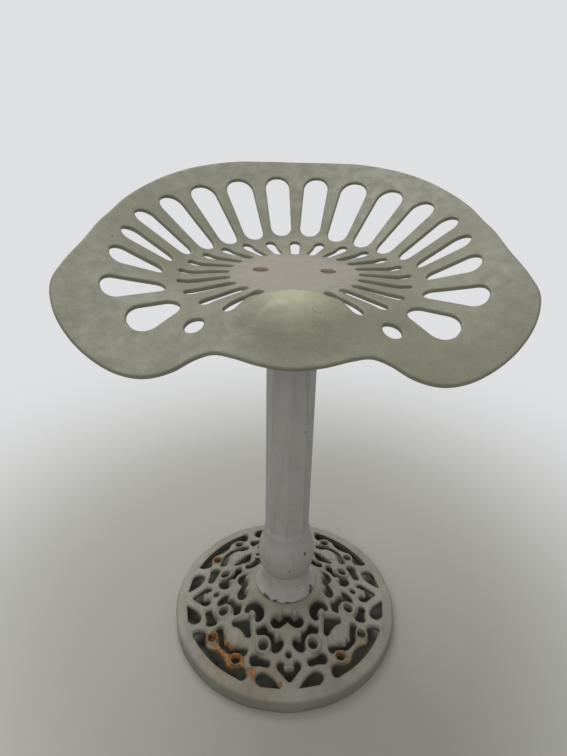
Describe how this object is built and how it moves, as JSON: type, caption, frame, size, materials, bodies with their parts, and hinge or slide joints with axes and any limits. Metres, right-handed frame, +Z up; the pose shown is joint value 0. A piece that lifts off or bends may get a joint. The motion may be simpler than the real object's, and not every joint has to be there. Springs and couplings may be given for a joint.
{
  "type": "tractor seat stool",
  "caption": "Stool with a dished, slotted cast iron implement seat on an octagonal column and a pierced bell-shaped cast foot.",
  "frame": {"origin": "on the floor, on the column's axis, at the centre of the foot's lower rim", "axes": "+Z up, +Y towards the seat's high back edge, +X to the right of someone sitting on it facing -Y seen from behind"},
  "size_m": [0.4292, 0.382, 0.5745],
  "materials": {
    "seat_paint": "aged matt olive grey paint on sand cast iron",
    "column_paint": "aged neutral grey paint on sand cast iron",
    "foot_paint": "aged grey paint with rust spots on sand cast iron",
    "flange_iron": "bare sand cast iron with brown oxide",
    "rusty_steel": "steel with a thin film of brown rust"
  },
  "bodies": {
    "root": {"foot_casting": "foot_paint", "column": "column_paint", "top_flange": "flange_iron", "seat_pan": "seat_paint", "tie_rod": "rusty_steel", "tie_rod_washer": "rusty_steel", "tie_rod_lower_nut": "rusty_steel", "tie_rod_upper_nut": "rusty_steel", "seat_bolts": "rusty_steel", "seat_bolt_washers": "rusty_steel", "seat_bolt_nuts": "rusty_steel"}
  },
  "joints": []
}
